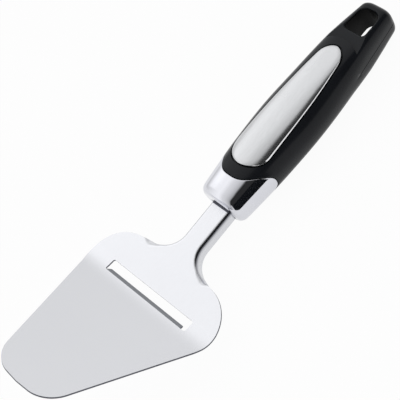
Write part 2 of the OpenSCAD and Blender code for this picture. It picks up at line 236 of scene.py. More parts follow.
def settled(bm, lowest=0.0):
    """Moves a bmesh from the form into the frame, closed and facing outwards."""
    for v in bm.verts:
        v.co = in_frame(v.co, lowest)
    bmesh.ops.remove_doubles(bm, verts=bm.verts, dist=MERGE)
    bmesh.ops.recalc_face_normals(bm, faces=bm.faces)
    return bm


def smooth_faces(mesh, sharp):
    """Smooth shading, with edges sharper than the angle kept."""
    mesh.polygons.foreach_set("use_smooth", [True] * len(mesh.polygons))
    mesh.set_sharp_from_angle(angle=math.radians(sharp))


def piece(name, bm, stuff, sharp):
    """Turns a bmesh in the form's millimetres into a piece of the slicer."""
    obj = object_from(settled(bm), name)
    smooth_faces(obj.data, sharp)
    obj.data.materials.append(stuff)
    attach(obj, "root")
    return obj


def cutter_from(bm):
    """A helper solid in the shared frame, for one boolean."""
    return object_from(settled(bm, -math.inf), "cutter")


def cut_with(obj, cutter):
    """Takes the cutter out of the piece and uses it up."""
    mod = obj.modifiers.new("cut", "BOOLEAN")
    mod.operation, mod.object, mod.solver = "DIFFERENCE", cutter, "EXACT"
    bpy.context.view_layer.update()
    seen = obj.evaluated_get(bpy.context.evaluated_depsgraph_get())
    mesh = bpy.data.meshes.new_from_object(seen)
    obj.modifiers.clear()
    obj.data = mesh
    bpy.data.objects.remove(cutter)


def lofted(rings):
    """A grid whose rows are laid on rings of points and closed round them."""
    bm = bmesh.new()
    last, count = len(rings) - 1, len(rings[0])
    bmesh.ops.create_grid(bm, x_segments=count, y_segments=last, size=1)
    for v in bm.verts:
        i, j = round((v.co.x + 1) / 2 * count), round((v.co.y + 1) / 2 * last)
        v.co = rings[j][i % count]
    bmesh.ops.remove_doubles(bm, verts=bm.verts, dist=1e-5)
    return bm


def close_ends(bm):
    """Caps the open rims of a loft."""
    bmesh.ops.holes_fill(bm, edges=[e for e in bm.edges if e.is_boundary], sides=0)


def filled(bm, outline, holes=()):
    """A flat face field inside an outline and round its holes, at Z = 0."""
    loops = []
    for loop in (outline, *holes):
        verts = [bm.verts.new((p[0], p[1], 0)) for p in loop]
        for i in range(len(verts)):
            bm.edges.new((verts[i - 1], verts[i]))
        loops.append(verts)
    bmesh.ops.triangle_fill(bm, edges=bm.edges[:], use_beauty=True)
    return loops


def slice_at(bm, axis, places):
    """Cuts the flat field along lines at the places on one axis."""
    for at in places:
        point, normal = Vector((0, 0, 0)), Vector((0, 0, 0))
        point[axis], normal[axis] = at, 1
        bmesh.ops.bisect_plane(bm, geom=bm.verts[:] + bm.edges[:] + bm.faces[:], dist=1e-4,
                               plane_co=point, plane_no=normal)


def keep_cuts(bm, places):
    """Removes the fill's own diagonals, so that only the cuts across X stay."""
    loose = []
    for e in bm.edges:
        a, b = (v.co.x for v in e.verts)
        on_cut = abs(a - b) < 1e-3 and any(abs(a - at) < 1e-3 for at in places)
        if not e.is_boundary and not on_cut:
            loose.append(e)
    bmesh.ops.dissolve_edges(bm, edges=loose, use_verts=False)


def widen(bm, edges, tags, steps):
    """Extrudes boundary edges once for each step. Every vertex carries a tag,
    and step(tag) says where its copy goes. Returns the last edges and tags."""
    for step in steps:
        made = bmesh.ops.extrude_edge_only(bm, edges=edges)["geom"]
        fresh = {v for v in made if isinstance(v, bmesh.types.BMVert)}
        edges = [e for e in made if isinstance(e, bmesh.types.BMEdge)
                 and all(v in fresh for v in e.verts)]
        old = {v: next(e.other_vert(v) for e in v.link_edges if e.other_vert(v) not in fresh)
               for v in fresh}
        tags = {v: tags[old[v]] for v in fresh}
        for v, tag in tags.items():
            v.co = step(tag)
    return edges, tags


def raised_from(bm, flat):
    """Extrudes a flat field and gives back the vertices of its upper side."""
    made = bmesh.ops.extrude_face_region(bm, geom=flat)["geom"]
    return [v for v in made if isinstance(v, bmesh.types.BMVert)]


def prism(outline, low, high):
    """Upright solid on a closed outline, between two heights."""
    bm = bmesh.new()
    face = bm.faces.new([bm.verts.new((p[0], p[1], low)) for p in outline])
    bmesh.ops.translate(bm, verts=raised_from(bm, [face]), vec=(0, 0, high - low))
    return bm


# ---- materials ---------------------------------------------------------------

# Sizes of the patterns, in millimetres. Real grinding lines are about 0.03 mm
# apart, the tears of a sheared edge and the grit of a mould about 0.05 mm, and
# the grain of a casting about 0.2 mm. All are too fine to show, so they are
# drawn coarser. The soft patches have the size they have on the real finishes.
LINE_GAP, LINE_RUN, TEAR, CAST_GRAIN, GRIT = 0.25, 3.333, 1 / 3, 1.111, 0.4
SATIN_PATCH, CHROME_HAZE, CHROME_WAVE, PLASTIC_CLOUD = 16.667, 11.111, 8.333, 22.222
# How much smoother and rougher than its own value a surface gets in patches
SMOOTHER, ROUGHER = 0.02, 0.03


def linear(code):
    """A hex colour as Blender's linear colour."""
    out = []
    for i in (1, 3, 5):
        c = int(code[i:i + 2], 16) / 255
        out.append(c / 12.92 if c <= 0.04045 else ((c + 0.055) / 1.055) ** 2.4)
    return (*out, 1.0)


def add(tree, kind, inputs=None, stops=(), **settings):
    """Adds a node with its settings and links. An input gets a number, a colour,
    a node's output, or a node for its first output. Stops fill a colour ramp."""
    node = tree.nodes.new(kind)
    for key, value in settings.items():
        setattr(node, key, value)
    for key, value in (inputs or {}).items():
        if isinstance(value, bpy.types.Node):
            value = value.outputs[0]
        if isinstance(value, bpy.types.NodeSocket):
            tree.links.new(value, node.inputs[key])
        else:
            node.inputs[key].default_value = value
    for k, (at, colour) in enumerate(stops):
        marks = node.color_ramp.elements
        mark = marks[k] if k < 2 else marks.new(at)
        mark.position, mark.color = at, colour
    return node


def material(name):
    """A new material with an empty node tree."""
    stuff = bpy.data.materials.new(name)
    stuff.use_nodes = True
    stuff.node_tree.nodes.clear()
    return stuff, stuff.node_tree


def finished(made, tone, patches, rough, relief, strength, height, **looks):
    """Ends a material with its colour, a roughness that runs between two values
    in soft patches, and a relief of a height in metres."""
    stuff, tree = made
    sheen = add(tree, "ShaderNodeMapRange", {
        "Value": patches, "From Min": 0.3, "From Max": 0.7, "To Min": rough[0], "To Max": rough[1]})
    lift = add(tree, "ShaderNodeBump", {"Height": relief, "Strength": strength, "Distance": height})
    shader = add(tree, "ShaderNodeBsdfPrincipled", {
        "Base Color": tone, "Roughness": sheen, "Normal": lift, **looks})
    add(tree, "ShaderNodeOutputMaterial", {"Surface": shader})
    return stuff


def ground_steel(name, colours, rough, strength, grain=(LINE_RUN, LINE_GAP, LINE_GAP), fold=None):
    """Steel with fine lines of a size along X, Y and Z, and a satin that varies in soft patches. A
    fold colour, where the blade's fold_painted_shade is high, is painted shade: a dark reflection
    down the fold."""
    stuff, tree = material(name)
    place = add(tree, "ShaderNodeTexCoord").outputs["Object"]
    lie = add(tree, "ShaderNodeMapping", {"Vector": place, "Scale": [1000 / mm for mm in grain]})
    lines = add(tree, "ShaderNodeTexNoise", {
        "Vector": lie, "Scale": 1.0, "Detail": 3.0, "Roughness": 0.6})
    patches = add(tree, "ShaderNodeTexNoise", {
        "Vector": place, "Scale": 1000 / SATIN_PATCH, "Detail": 2.0})
    tone = add(tree, "ShaderNodeValToRGB", {"Fac": lines}, stops=[
        (0.25, linear(colours[0])), (0.75, linear(colours[1]))])
    if fold:
        painted_shade = add(tree, "ShaderNodeAttribute", attribute_name="fold_painted_shade").outputs["Fac"]
        tone = add(tree, "ShaderNodeMix", {0: painted_shade, 6: tone, 7: linear(fold)},
                   data_type="RGBA").outputs[2]
    return finished((stuff, tree), tone, patches, (rough - SMOOTHER, rough + ROUGHER),
                    lines, strength, 0.0001, Metallic=1.0)


def buffed_chrome(name, colours, rough):
    """Plated metal with a faint haze and the slow waves of the casting under it."""
    stuff, tree = material(name)
    place = add(tree, "ShaderNodeTexCoord").outputs["Object"]
    haze = add(tree, "ShaderNodeTexNoise", {
        "Vector": place, "Scale": 1000 / CHROME_HAZE, "Detail": 3.0})
    wave = add(tree, "ShaderNodeTexNoise", {
        "Vector": place, "Scale": 1000 / CHROME_WAVE, "Detail": 0.0})
    tone = add(tree, "ShaderNodeValToRGB", {"Fac": haze}, stops=[
        (0.3, linear(colours[0])), (0.7, linear(colours[1]))])
    return finished((stuff, tree), tone, haze, rough, wave, 0.06, 0.0004, Metallic=1.0)


def moulded(name, colours, rough, ior=1.46):
    """Plastic with slow clouds of colour and gloss, and the grit of its mould."""
    stuff, tree = material(name)
    place = add(tree, "ShaderNodeTexCoord").outputs["Object"]
    cloud = add(tree, "ShaderNodeTexNoise", {
        "Vector": place, "Scale": 1000 / PLASTIC_CLOUD, "Detail": 3.0})
    fine = add(tree, "ShaderNodeTexNoise", {"Vector": place, "Scale": 1000 / GRIT, "Detail": 2.0})
    tone = add(tree, "ShaderNodeValToRGB", {"Fac": cloud}, stops=[
        (0.3, linear(colours[0])), (0.7, linear(colours[1]))])
    return finished((stuff, tree), tone, cloud, (rough - SMOOTHER, rough + ROUGHER),
                    fine, 0.1, 0.00003, IOR=ior)


# Stainless sheet, rolled and satin ground along its length: a pale even grey that mirrors only
# large lights and softly. The fold colour is painted shade down the folds, a dark reflection, with
# some dulled finish there too.
BLADE_STEEL = ground_steel("satin_stainless_sheet", ("#E2E3E7", "#E6E7EB"), 0.24, 0.01,
                           fold="#73747B")
# Stainless steel ground along its cutting edge, with lines that follow it. Its darker colour is
# painted shade: a dark reflection of the shade under the blade
LIP_STEEL = ground_steel("ground_edge_and_shade", ("#85878B", "#93959A"), 0.35, 0.1,
                         (LINE_GAP, LINE_RUN, LINE_GAP))
# Stainless sheet's sheared edge, dulled in tumbling: a fine dark rim line. The same dark colour is
# painted shade on the sheet inside the ferrule's mouth
EDGE_AND_SHADE_STEEL = ground_steel("sheared_edge_and_mouth_shade", ("#55565E", "#70717A"), 0.45, 0.2,
                          (TEAR, TEAR, LINE_RUN))
# Inside the ferrule's mouth: dull cast metal coloured nearly black, painted shade in the recess
MOUTH_SHADE_STUFF = ground_steel("cast_zinc_painted_shade", ("#26272A", "#303236"), 0.6, 0.2,
                          (CAST_GRAIN, CAST_GRAIN, CAST_GRAIN))
# Chromium plate on a casting, buffed: crisp bright and black bands, barely hazed
CHROME = buffed_chrome("bright_chrome_plate", ("#DEDFE5", "#E2E3E9"), (0.05, 0.08))
# Black ABS, moulded with a satin gloss: deep black under a broad soft sheen. Its
# index is below the usual 1.5, matched to the object's weak reflections
GRIP_BLACK = moulded("moulded_black_abs", ("#1A1C20", "#1F2125"), 0.2, 1.28)
# The same ABS on the hang hole's walls, darker and duller: painted shade in the hole
BORE_SHADE_BLACK = moulded("black_abs_painted_bore_shade", ("#060608", "#090A0C"), 0.5, 1.15)
# Stainless plate, brushed lengthwise: a bright satin with faint long streaks
INLAY_STEEL = ground_steel("brushed_stainless_plate", ("#CBCCCE", "#D6D7D9"), 0.25, 0.05)
# The plate's chamfered edge, coloured brighter than the plate: a painted highlight line round the
# inlay
RIM_HIGHLIGHT_STEEL = ground_steel("bright_cut_stainless", ("#F0F0F2", "#F6F6F8"), 0.12, 0.01)
# Grey nylon, moulded: a plain dull grey, hidden in the grip
CORE_STUFF = moulded("moulded_grey_nylon", ("#2E3033", "#383A3E"), 0.55)
# Epoxy resin, poured and set: an amber gloss, hidden in the core
BOND_STUFF = moulded("set_epoxy_resin", ("#B9A066", "#C7B07A"), 0.25)
# Foam tape, die cut: a flat off-white, hidden under the inlay
PAD_STUFF = moulded("closed_cell_foam_tape", ("#DEDED6", "#ECECE6"), 0.85)

# ---- blade -------------------------------------------------------------------

GROUND_AND_SHADE, SHEARED_AND_SHADE = 1, 2  # the blade's material slots after its satin, which is 0
MOUTH_SHADE_FROM = 0.1  # painted shade on the sheet inside the ferrule's mouth from here on
BEND_STRIPS = 24
# Painted shade down the fold, a dark reflection with some dulled finish: eight rings round it, then
# three on the wall
FOLD_PAINTED_SHADE = (0, 0, 0.1, 0.5, 1, 1, 0.8, 0.35, 0, 0, 0)
FOLD_SHADE_END_Y, FOLD_SHADE_FULL_Y = 18, 6
EDGE_SOFT = 0.22


def blade_outline():
    """Half outline of the flat sheet in (s, y), from the tip into the ferrule."""
    tip, shoulder = (TIP_BOW, TIP_W / 2), (SHOULDER_S, SHOULDER_W / 2)
    root, mouth = (ROOT_S, NECK_HALF), (MOUTH_S, NECK_HALF)
    t = (FRONT_LEN - tip[0]) / (shoulder[0] - tip[0])
    half = [Vector((0, 0))] + rounded((0, 0), tip, shoulder, TIP_R)
    half += [Vector((FRONT_LEN, tip[1] + t * (shoulder[1] - tip[1])))]
    half += rounded(tip, shoulder, root, SHOULDER_R, 36)
    arc = rounded(shoulder, root, mouth, ROOT_R, 24)
    half += [half[-1].lerp(arc[0], k / 14) for k in range(1, 14)] + arc
    half += [Vector((MOUTH_S + x, NECK_HALF)) for x in (-12, -4, MOUTH_SHADE_FROM, 3, FLANGE_IN)]
    return half


def slot_outline():
    """Closed outline of the slot. It starts along the edge with the lip."""
    half, front, back = SLOT_LEN / 2, SLOT_S, SLOT_S + SLOT_W
    turns = (rounded((front, 0), (front, half), (back, half), SLOT_R, 6)
             + rounded((front, half), (back, half), (back, 0), SLOT_R, 6))
    return ([Vector((front, y)) for y in LIP_Y] + turns
            + [Vector((p.x, -p.y)) for p in reversed(turns)])


def flange_depth(p):
    """How far the sheet's edge hangs down, fading out under the shoulders."""
    if p.x < SHOULDER_S:
        return 0.0
    t = share(abs(p.y), FLANGE_END_Y, FLANGE_FULL_Y)
    return FLANGE_D * t ** 3 * (10 - 15 * t + 6 * t ** 2)


def fold_radius(p):
    """Tighter round the neck's root than along the neck, wide where it fades out."""
    root = share(abs(p.y), NECK_HALF, NECK_HALF + ROOT_RUN)
    end = share(abs(p.y), FADE_START_Y, FADE_FULL_Y)
    return FOLD_R - FOLD_TIGHTER * root + FOLD_WIDER * end


def build_blade():
    """The sheet is filled flat and cut across the bend, its edges are folded
    down and its lip pressed, and then it is bent and given its thickness."""
    half = blade_outline()
    outline = mirrored(half)
    normals = outwards(outline)
    depth = [flange_depth(p) for p in outline]
    radius = [fold_radius(p) for p in outline]
    turn = [math.acos(max(0, 1 - d / r)) for d, r in zip(depth, radius)]
    inset = [r * math.sin(a) for r, a in zip(radius, turn)]
    rear = len(half) - 1
    rear_corners = (rear, rear + 1)
    inner = [p - n * i for p, n, i in zip(outline, normals, inset)]
    for k in rear_corners:
        inner[k] = Vector((outline[k].x, math.copysign(NECK_HALF - inset[k], outline[k].y)))
    slot = slot_outline()

    bm = bmesh.new()
    thickness = bm.verts.layers.deform.verify()
    shade_layer = bm.verts.layers.float.new("fold_painted_shade")
    rim, slot_rim = filled(bm, inner, [slot])
    cuts = [FRONT_LEN + (BEND_END - FRONT_LEN) * k / BEND_STRIPS for k in range(BEND_STRIPS + 1)]
    cuts.append(MOUTH_S + MOUTH_SHADE_FROM)
    slice_at(bm, 0, cuts)
    keep_cuts(bm, cuts)
    flat = set(bm.verts)

    def fold(angle_share, wall_share):
        def at(i):
            a, w = turn[i] * angle_share, max(0, depth[i] - radius[i]) * wall_share
            n = Vector((0, math.copysign(1, outline[i].y))) if i in rear_corners else normals[i]
            p = inner[i] + n * radius[i] * math.sin(a)
            return bent(p.x, p.y, radius[i] * (1 - math.cos(a)) + w)
        return at

    steps = [fold(k / 8, 0) for k in range(1, 9)] + [fold(1, down) for down in (0.3, 0.65, 1)]
    moving = [i for i in range(len(outline)) if depth[i] > 0]
    for run in (range(moving[0] - 1, rear + 1), range(rear + 1, moving[-1] + 2)):
        edges = [bm.edges.get((rim[i], rim[i + 1])) for i in run[:-1]]
        tags = {rim[i]: i for i in run}
        # Painted shade down the fold: a dark reflection, fading out towards the shoulders
        for step, painted_shade in zip(steps, FOLD_PAINTED_SHADE):
            edges, tags = widen(bm, edges, tags, [step])
            for v, i in tags.items():
                v[shade_layer] = painted_shade * share(abs(outline[i].y), FOLD_SHADE_END_Y, FOLD_SHADE_FULL_Y)

    def lip(reach, drop):
        def at(i):
            ease = 0.3 if i == 3 else 1  # it rises again at the slot's corner
            step = Vector((LIP_REACH * reach, 0, -LIP_DROP * drop))
            return bent(SLOT_S, slot[i].y) + step * ease
        return at

    edges = [bm.edges.get((slot_rim[i], slot_rim[i + 1])) for i in range(3)]
    faces = set(bm.faces)
    tags = {slot_rim[i]: i for i in range(4)}
    tapered = widen(bm, edges, tags, [lip(0.5, 0.5), lip(1, 1)])[1]
    # Painted shade: the pressed lip takes the darker colour
    for f in bm.faces:
        if f not in faces:
            f.material_index = GROUND_AND_SHADE
    for v in bm.verts:
        if v in flat:
            v.co = bent(v.co.x, v.co.y)
    # Painted shade: inside the ferrule's mouth the sheet takes the dark edge colour
    for f in bm.faces:
        middle = f.calc_center_median()
        if middle.x > MOUTH_SHADE_FROM and middle.z > -0.5 * FOLD_R:
            f.material_index = SHEARED_AND_SHADE
    bmesh.ops.remove_doubles(bm, verts=bm.verts, dist=4e-3)
    bmesh.ops.recalc_face_normals(bm, faces=bm.faces)
    if sum(f.normal.z * f.calc_area() for f in bm.faces) < 0:
        bmesh.ops.reverse_faces(bm, faces=bm.faces)
    for v in bm.verts:
        v[thickness][0] = LIP_THIN if v in tapered else 1.0
        v.co = in_frame(v.co)

    obj = object_from(bm, "blade_sheet")
    obj.vertex_groups.new(name="thickness")
    solid = obj.modifiers.new("sheet", "SOLIDIFY")
    solid.thickness, solid.offset = SHEET / 1000, -1
    solid.use_even_offset, solid.use_rim = True, True
    solid.vertex_group, solid.material_offset_rim = "thickness", SHEARED_AND_SHADE
    edge = obj.modifiers.new("edge", "BEVEL")
    edge.width, edge.segments, edge.material = EDGE_SOFT / 1000, 2, SHEARED_AND_SHADE
    edge.limit_method, edge.angle_limit = "ANGLE", math.radians(50)
    obj.modifiers.new("even", "WEIGHTED_NORMAL").keep_sharp = True
    smooth_faces(obj.data, 60)
    for stuff in (BLADE_STEEL, LIP_STEEL, EDGE_AND_SHADE_STEEL):
        obj.data.materials.append(stuff)
    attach(obj, "root")
    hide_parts("blade")


# ---- ferrule -----------------------------------------------------------------

ROUND = 96
ANGLES = [2 * math.pi * i / ROUND for i in range(ROUND)]
# The mouth's edge, as steps back from the front face and gaps round the neck
MOUTH_STEPS = ((FRONT_WALL, 0.45), (0.5, 0.45), (0.25, 0.5), (0.07, 0.64), (0, 0.85))
# The rounded rear rim, as steps back to the wave and down from the skin
RIM_STEPS = ((-0.42, 0.03), (-0.2, 0.13), (-0.06, 0.3), (0, 0.5), (0, WALL))


def ring(x, grow=0.0):
    """Plain section of the handle."""
    return [skin_point(x, a, grow) for a in ANGLES]


def wave_x(a):
    """Place of the ferrule's rear edge, which reaches furthest at its sides."""
    return FERRULE_MIN + (FERRULE_MAX - FERRULE_MIN) * abs(math.cos(a)) ** 2.5


def wavy(shift, grow, t):
    """Ring between the sleeve's front (t = 0) and its wavy rear edge (t = 1)."""
    return [skin_point(SLEEVE_X + (wave_x(a) + shift - SLEEVE_X) * t, a, grow) for a in ANGLES]


def mouth_ring(x, gap):
    """Rounded opening round the neck's channel, higher above it than beside it."""
    half, low, high = NECK_HALF + gap, -FLANGE_D - gap, 2.2 * gap
    mid = (low + high) / 2
    return [Vector((x, half * signed_pow(math.cos(a), 0.3),
                    mid + (high - mid) * signed_pow(math.sin(a), 0.3))) for a in ANGLES]


def build_ferrule():
    """A hollow sleeve, laid from the mouth over the nose to the rear rim and
    back along its inside."""
    nose = [(math.pi / 2 * i / 10) for i in range(10, -1, -1)]
    rings = [mouth_ring(FRONT_X + back, gap) for back, gap in MOUTH_STEPS]
    rings += [ring(NOSE_R * (1 - math.sin(a)) + FRONT_X, -NOSE_R * (1 - math.cos(a)) * 0.8)
              for a in nose]
    rings += [wavy(-0.6, 0, k / 16) for k in range(17)]
    rings += [wavy(out, -drop, 1) for out, drop in RIM_STEPS]
    rings += [wavy(0, -WALL, 0.5), ring(SLEEVE_X, -WALL),
              ring(FRONT_X + FRONT_WALL, -WALL - 0.5), rings[0]]
    obj = piece("chromed_ferrule", lofted(rings), CHROME, 35)
    obj.data.materials.append(MOUTH_SHADE_STUFF)
    # Painted shade: the faces inside the mouth take the nearly black colour
    for p in obj.data.polygons:
        x, y, z = in_form(p.center)
        if x > FRONT_X + 0.3 and y < NECK_HALF + 0.6 and -FLANGE_D - 0.6 < z < 1.3:
            p.material_index = 1
    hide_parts("ferrule")


# ---- grip --------------------------------------------------------------------

SEAM_ANGLES = (0, ROUND // 2)
# Bore: how far it is wider than the hang hole, at heights below the middle and
# at depths under the tail's upper face
BORE_BELOW = ((2, -30), (2, -12.7), (1.25, -12.2), (0.92, -11.7), (0.8, -11.2), (0.4, -2))
BORE_UNDER = ((0.05, 1.1), (0.08, 0.75), (0.2, 0.4), (0.4, 0.15), (0.7, 0), (0.8, -0.03),
              (0.85, -20))
BORE_LOW, BORE_HIGH, BORE_SIDE = -11.4, 0.6, 0.7


def inlay_half(u):
    """Half width of the inlay at the share u of its length."""
    front, back = max(0, 1 - u / 0.15), max(0, 1 - (1 - u) / 0.1)
    return ((INLAY_W / 2 - INLAY_TAPER / 2 * u ** 2.6)
            * (1 - front ** 2.2) ** 0.5 * (1 - back ** 2.2) ** 0.5)


def inlay_outline(grow, n=72):
    """Closed outline of the inlay, moved outwards."""
    half = []
    for k in range(n + 1):
        u = (1 - math.cos(math.pi * k / n)) / 2
        half.append(Vector((INLAY_X + INLAY_LEN * u, 0 if k in (0, n) else inlay_half(u))))
    return grown(mirrored(half), grow)


def hole_outline(grow):
    """Closed outline of the hang hole, moved outwards."""
    x0, x1, h0, h1 = HOLE_X, HOLE_X + HOLE_LEN, HOLE_W / 2, HOLE_W / 2 - HOLE_TAPER
    half = (rounded((x0, 0), (x0, h0), (x1, h1), 2, 8)
            + rounded((x0, h0), (x1, h1), (x1, 0), 4.4, 12))
    return grown(mirrored(half), grow)


def tail_top(x, y):
    """Height of the tail's upper face, behind the crown."""
    return min(FACET_Z, top_z(x, y))


def grip_ring(x, grow=0.0):
    """Section of the grip. Behind the inlay the two mould halves meet in a fine
    groove at mid height."""
    half_w, mid = curve(SECTION_HALF_W, x) + grow, middle_z(x)
    cut = PARTING * share(x, PARTING_FROM, PARTING_AT)
    points = []
    for i, a in enumerate(ANGLES):
        if i not in SEAM_ANGLES:
            points.append(skin_point(x, a, grow))
            continue
        side = 1 if i == 0 else -1
        for z in (-PARTING * side, 0, PARTING * side):
            q = squareness(x) if z > 0 else squareness_below(x)
            depth = curve(SECTION_UP if z > 0 else SECTION_DOWN, x) + grow
            y = half_w * (1 - (abs(z) / depth) ** q) ** (1 / q)
            points.append(Vector((x, side * (y - (cut if z == 0 else 0)), mid + z)))
    return points


def grip_wave(shift, grow, t):
    """Ring between the plain section (t = 0) and the wavy front edge (t = 1)."""
    waves = []
    for i, a in enumerate(ANGLES):
        for _ in range(3 if i in SEAM_ANGLES else 1):
            x = PLAIN_X + (wave_x(a) + shift - PLAIN_X) * t
            waves.append(grip_ring(x, grow)[len(waves)])
    return waves


def inlay_pocket():
    """Solid over the inlay's outline that follows the skin at the pocket's depth."""
    bm = bmesh.new()
    filled(bm, inlay_outline(GROOVE))
    slice_at(bm, 0, [INLAY_X + 3 * k for k in range(1, 24)])
    slice_at(bm, 1, range(-9, 10, 3))
    raised = set(raised_from(bm, list(bm.faces)))
    depth = INLAY_T - INLAY_PROUD + GROOVE_DEEPER
    for v in bm.verts:
        v.co.z = top_z(v.co.x, v.co.y) + (4 if v in raised else -depth)
    return bm


def hang_bore():
    """Solid of the hang hole with its softened rims above and below."""
    rings = [[(p.x, p.y, z) for p in hole_outline(grow)] for grow, z in BORE_BELOW]
    rings += [[(p.x, p.y, tail_top(p.x, p.y) - down) for p in hole_outline(grow)]
              for grow, down in BORE_UNDER]
    bm = lofted(rings)
    close_ends(bm)
    return bm


def build_grip():
    """A hollow shell laid from its inside over the wavy front edge to the tail.
    The pocket, the facet behind the crown and the bore are then cut out."""
    rings = [grip_ring(x, -WALL) for x in (95, 80, 65, 50, 38)]
    rings += [grip_wave(0.2, -WALL, t) for t in (0, 0.5, 1)]
    rings += [grip_wave(0.2, -0.35, 1), grip_wave(0.3, -0.1, 1)]
    rings += [grip_wave(0.6, 0, 1 - k / 12) for k in range(12)]
    rings += [grip_ring(PLAIN_X + RING_GAP * k) for k in range(55)]
    rings += [grip_ring(HANDLE_LEN - END_R * (1 - math.sin(a)), -END_R * (1 - math.cos(a)))
              for a in [math.pi / 2 * k / 10 for k in range(11)]]
    bm = lofted(rings)
    close_ends(bm)
    obj = piece("moulded_grip", bm, GRIP_BLACK, 30)
    cut_with(obj, cutter_from(inlay_pocket()))
    tail = HANDLE_LEN + 5
    facet = [(CROWN_X, -20), (tail, -20), (tail, 20), (CROWN_X, 20)]
    crown = [(CROWN_X + CROWN_R * math.cos(t), CROWN_R * math.sin(t))
             for t in [2 * math.pi * k / 160 for k in range(160)]]
    tool = cutter_from(prism(facet, FACET_Z, FACET_Z + 10))
    cut_with(tool, cutter_from(prism(crown, FACET_Z - 1, FACET_Z + 12)))
    cut_with(obj, tool)
    cut_with(obj, cutter_from(hang_bore()))
    smooth_faces(obj.data, 25)
    obj.data.materials.clear()
    for stuff in (GRIP_BLACK, BORE_SHADE_BLACK):
        obj.data.materials.append(stuff)
    # Painted shade: the hang hole's walls take the darker black
    for p in obj.data.polygons:
        x, y, z = in_form(p.center)
        inside = HOLE_X - BORE_SIDE < x < HOLE_X + HOLE_LEN + BORE_SIDE
        inside = inside and y < HOLE_W / 2 + BORE_SIDE
        walled = BORE_LOW < z < tail_top(x, y) - BORE_HIGH and abs(p.normal.z) < 0.6
        p.material_index = 1 if inside and walled else 0
    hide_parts("grip_shell")


# ---- inlay -------------------------------------------------------------------

# The plate's edge, as steps outwards and down from its crowned face
CHAMFER = ((0.05, 0.04), (0.32, 0.76), (0.35, 0.9), (0.35, 1.2))


def build_inlay():
    """Pressed plate that follows the grip's crown and rolls down towards its
    edge, with a narrow steep chamfer above the groove."""
    length = INLAY_LEN - 2 * INLAY_INSET
    bm = bmesh.new()
    bmesh.ops.create_grid(bm, x_segments=130, y_segments=36, size=1)
    for v in bm.verts:
        u = (1 - math.cos(math.pi * (v.co.x + 1) / 2)) / 2
        across = math.sin(v.co.y * math.pi / 2)
        half = max(0, inlay_half(u) - INLAY_INSET)
        x, y = INLAY_X + INLAY_INSET + length * u, half * across
        ends = INLAY_LEN * min(u, 1 - u) * 2.2
        near = max(0, 1 - min(half * (1 - abs(across)), ends) / ROLL_W)
        v.co = (x, y, top_z(x, y) + EDGE_UP + ROLL * (1 - near ** 2))
    bmesh.ops.remove_doubles(bm, verts=bm.verts, dist=1e-4)
    rim = [e for e in bm.edges if e.is_boundary]
    tags = {}
    for v in {v for e in rim for v in e.verts}:
        u = min(1, max(0, (v.co.x - INLAY_X - INLAY_INSET) / length))
        if min(u, 1 - u) < 1e-5:
            out = Vector((math.copysign(1, u - 0.5), 0))
        else:
            step = min(u, 1 - u) / 8
            slope = (inlay_half(u + step) - inlay_half(u - step)) / (2 * step * INLAY_LEN)
            out = Vector((-slope, math.copysign(1, v.co.y))).normalized()
        tags[v] = (v.co.copy(), out)

    def at(out, drop):
        return lambda tag: tag[0] + Vector((tag[1].x * out, tag[1].y * out, -drop))

    last = widen(bm, rim, tags, [at(out, drop) for out, drop in CHAMFER])[0]
    bmesh.ops.holes_fill(bm, edges=last, sides=0)
    obj = piece("inlay_plate_brushed", bm, INLAY_STEEL, 28)
    obj.data.materials.append(RIM_HIGHLIGHT_STEEL)
    # Painted highlight: the steep chamfer faces take the brighter colour
    for p in obj.data.polygons:
        p.material_index = 1 if 0.2 < p.normal.z < 0.5 else 0
    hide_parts("inlay_plate")


# ---- hidden pieces keep their CAD solids -------------------------------------

for node, stuff in (("handle_core", CORE_STUFF), ("tang_bond", BOND_STUFF),
                    ("inlay_pad", PAD_STUFF)):
    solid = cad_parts[node]
    solid.data.materials.clear()
    solid.data.materials.append(stuff)

build_blade()
build_ferrule()
build_grip()
build_inlay()

# ---- studio ------------------------------------------------------------------

# Brightness of the surroundings, from the near side (0) to the far side (1)
ROOM = ((0.19, 0.85), (0.25, 0.5), (0.27, 0.42), (0.3, 0.5), (0.38, 0.66), (0.45, 0.76),
        (0.58, 0.88), (0.645, 1.02), (0.71, 1.14), (0.757, 1.09), (0.84, 1.0), (0.905, 0.91),
        (0.96, 0.8), (1.0, 0.66))
# What the soft box on the far side adds to it, over part of the length
SOFT_BOX = ((0.72, 0.0), (0.77, 0.05), (0.82, 0.2), (0.86, 0.32), (0.945, 0.4), (0.975, 0.25),
            (1.0, 0.05))
# Soft-edged masks over the directions: an axis, where the mask starts and ends
# on it, and its values there
MASKS = {"tail_side": ("X", 0.35, 0.75, 0, -0.2),
         "box_start": ("X", -0.3, 0.05, 0, 1), "box_end": ("X", 0.3, 0.6, 1, 0),
         "over_along": ("X", -0.1, 0.12, 0, 1), "over_up": ("Z", 0.8, 0.92, 0, 0.14),
         "near_half": ("Y", -0.2, 0.0, 1, 0), "raised": ("Z", 0.3, 0.42, 0, 1)}
DARK_START, DARK_FULL, DARKEST = 0.42, 0.56, 0.965

FLOOR_HALF = 1.5
# Shares of plain white that the camera and reflections see on the floor
WHITE_SEEN, WHITE_MIRRORED = 0.955, 0.75
# The flag's middle and half sizes, in metres
FLAG_X, FLAG_Y, FLAG_Z, FLAG_HALF_X, FLAG_HALF_Z = -0.0035, -0.035, 0.0233, 0.0265, 0.0127

# The camera in the form's millimetres, solved together with the form's proportions
CAMERA_AT = (-60.3, -298.2, 469.8)
CAMERA_WAY, CAMERA_UP = (0.1024, 0.5470, -0.8309), (0.7695, 0.4857, 0.4146)
LENS, SENSOR = 109.84, 36


